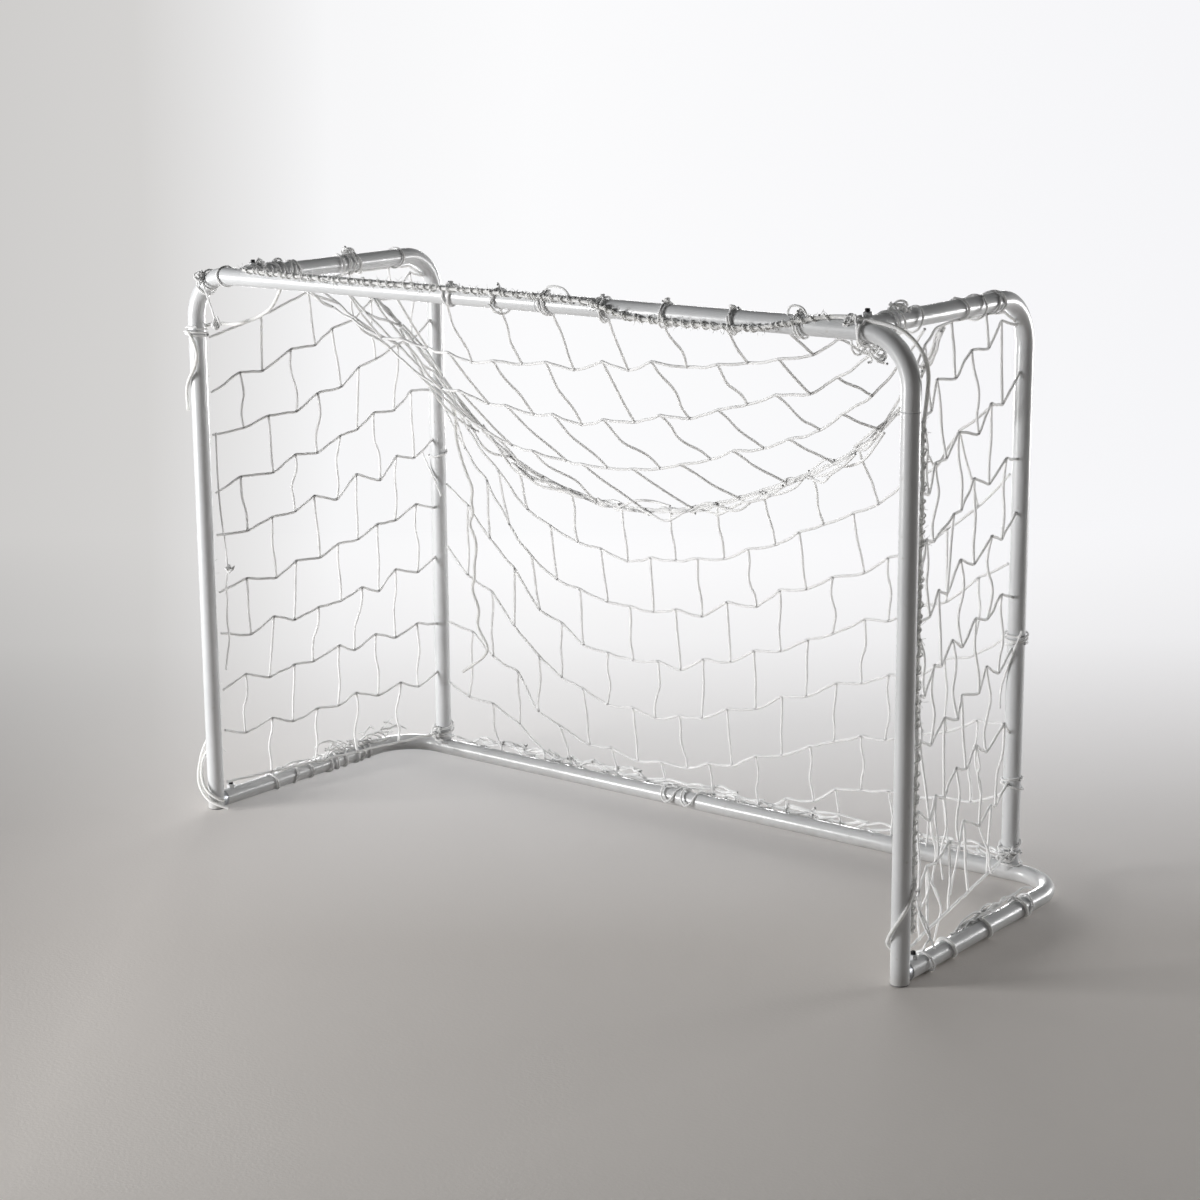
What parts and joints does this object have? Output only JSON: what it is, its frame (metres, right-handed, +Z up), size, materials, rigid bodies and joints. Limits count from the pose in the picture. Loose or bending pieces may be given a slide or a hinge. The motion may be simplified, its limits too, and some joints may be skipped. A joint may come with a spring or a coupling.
{
  "type": "soccer goal frame",
  "caption": "Small free-standing soccer goal: knock-down frame of bent steel tube with floor rails and a rear bar, hung with a sagging hexagonal net.",
  "frame": {"origin": "on the floor, in the middle of the goal's width and of its depth", "axes": "+X to the right as seen by someone who faces the mouth of the goal, +Y from the mouth towards the rear bar, +Z up"},
  "size_m": [1.5, 0.55, 1.0115],
  "materials": {
    "white_paint": "gloss white powder coat",
    "zinc_steel": "zinc-plated steel",
    "black_screw": "black oxide",
    "cap_plastic": "moulded polyethylene",
    "net_cord": "braided polypropylene cord",
    "edge_rope": "laid polypropylene rope, fuzzy"
  },
  "bodies": {
    "root": {"arm_spigot_left": "zinc_steel", "arm_spigot_right": "zinc_steel", "back_net": "net_cord", "base_tube_left": "white_paint", "base_tube_right": "white_paint", "clamp_screws": "black_screw", "crossbar_left": "white_paint", "crossbar_right": "white_paint", "drawstring": "edge_rope", "foot_cap_left": "cap_plastic", "foot_cap_right": "cap_plastic", "foot_spigot_left": "zinc_steel", "foot_spigot_right": "zinc_steel", "head_rope": "edge_rope", "post_left": "white_paint", "post_right": "white_paint", "post_rope_left": "edge_rope", "post_rope_right": "edge_rope", "rail_spigot_left": "zinc_steel", "rail_spigot_right": "zinc_steel", "roof_net": "net_cord", "side_net_left": "net_cord", "side_net_right": "net_cord", "side_tube_left": "white_paint", "side_tube_right": "white_paint", "welded_nuts": "white_paint"}
  },
  "joints": []
}
